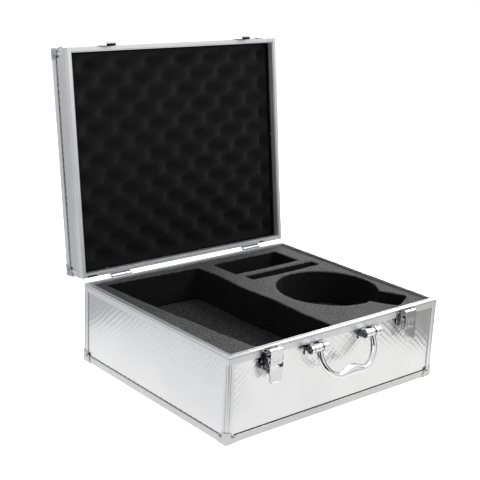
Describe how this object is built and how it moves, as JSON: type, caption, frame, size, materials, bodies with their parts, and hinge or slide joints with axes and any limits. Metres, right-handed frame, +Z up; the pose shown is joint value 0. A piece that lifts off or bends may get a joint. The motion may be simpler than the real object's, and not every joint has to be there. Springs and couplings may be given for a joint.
{
  "type": "telescope carry case",
  "caption": "Hinged carry case with embossed aluminium sides, edge rails, corner caps, cut foam insert, bail handle and toggle latches.",
  "frame": {"origin": "centre of the footprint on the resting plane", "axes": "+X to the right seen from the handle side, +Y from the handle side to the hinge side, +Z up"},
  "size_m": [0.4546, 0.5215, 0.5308],
  "materials": {
    "embossed_panel": "satin",
    "rail": "satin",
    "cap": "polished",
    "fastener": "polished",
    "hinge": "polished",
    "latch": "polished",
    "handle": "polished",
    "cut_foam": "matte",
    "egg_crate_foam": "matte",
    "buffer": "matte"
  },
  "bodies": {
    "base": {"base_bottom_panel": "embossed_panel", "base_front_panel": "embossed_panel", "base_rear_panel": "embossed_panel", "base_left_panel": "embossed_panel", "base_right_panel": "embossed_panel", "base_rim_front": "rail", "base_rim_rear": "rail", "base_rim_left": "rail", "base_rim_right": "rail", "base_foot_front": "rail", "base_foot_rear": "rail", "base_foot_left": "rail", "base_foot_right": "rail", "base_corner_posts": "rail", "base_corner_caps": "cap", "base_cap_rivets": "fastener", "foam_insert": "cut_foam", "foam_lower_block": "cut_foam", "hinge_base_leaves": "hinge", "hinge_pins": "fastener", "hinge_base_rivets": "fastener", "handle_bracket_left": "handle", "handle_bracket_right": "handle", "handle_pins": "fastener", "latch_left_plate": "latch", "latch_right_plate": "latch", "latch_plate_rivets": "fastener", "latch_plate_pins": "fastener"},
    "lid": {"lid_top_panel": "embossed_panel", "lid_front_panel": "embossed_panel", "lid_rear_panel": "embossed_panel", "lid_left_panel": "embossed_panel", "lid_right_panel": "embossed_panel", "lid_rim_front": "rail", "lid_rim_rear": "rail", "lid_rim_left": "rail", "lid_rim_right": "rail", "lid_edge_front": "rail", "lid_edge_rear": "rail", "lid_edge_left": "rail", "lid_edge_right": "rail", "lid_corner_posts": "rail", "lid_corner_caps": "cap", "lid_cap_rivets": "fastener", "lid_foam": "egg_crate_foam", "lid_rim_buffers": "buffer", "hinge_lid_leaves": "hinge", "hinge_lid_rivets": "fastener", "strike_left": "latch", "strike_right": "latch", "strike_rivets": "fastener"},
    "handle": {"handle_bail": "handle"},
    "latch_left_lever": {"latch_left_lever": "latch", "latch_left_claw_pin": "fastener"},
    "latch_right_lever": {"latch_right_lever": "latch", "latch_right_claw_pin": "fastener"},
    "latch_left_claw": {"latch_left_claw": "latch"},
    "latch_right_claw": {"latch_right_claw": "latch"}
  },
  "joints": [
    {"name": "lid_hinge", "type": "hinge", "parent": "base", "child": "lid", "pos_m": [0, 0.1955, 0.1391], "axis": [1, 0, 0], "range_deg": [0, 97.4]},
    {"name": "handle_swing", "type": "hinge", "parent": "base", "child": "handle", "pos_m": [0, -0.201, 0.119], "axis": [-1, 0, 0], "range_deg": [-24.5, 73.5]},
    {"name": "latch_left_lever_hinge", "type": "hinge", "parent": "base", "child": "latch_left_lever", "pos_m": [-0.146, -0.1975, 0.112], "axis": [-1, 0, 0], "range_deg": [-15, 50]},
    {"name": "latch_left_claw_hinge", "type": "hinge", "parent": "latch_left_lever", "child": "latch_left_claw", "pos_m": [-0.146, -0.2015, 0.114], "axis": [-1, 0, 0], "range_deg": [-97, 30]},
    {"name": "latch_right_lever_hinge", "type": "hinge", "parent": "base", "child": "latch_right_lever", "pos_m": [0.146, -0.1975, 0.112], "axis": [-1, 0, 0], "range_deg": [-15, 50]},
    {"name": "latch_right_claw_hinge", "type": "hinge", "parent": "latch_right_lever", "child": "latch_right_claw", "pos_m": [0.146, -0.2015, 0.114], "axis": [-1, 0, 0], "range_deg": [-97, 30]}
  ],
  "couplings": [
    {"joint": "latch_left_claw_hinge", "follows": "latch_left_lever_hinge", "ratio": -1.9333},
    {"joint": "latch_right_claw_hinge", "follows": "latch_right_lever_hinge", "ratio": -1.9333}
  ]
}
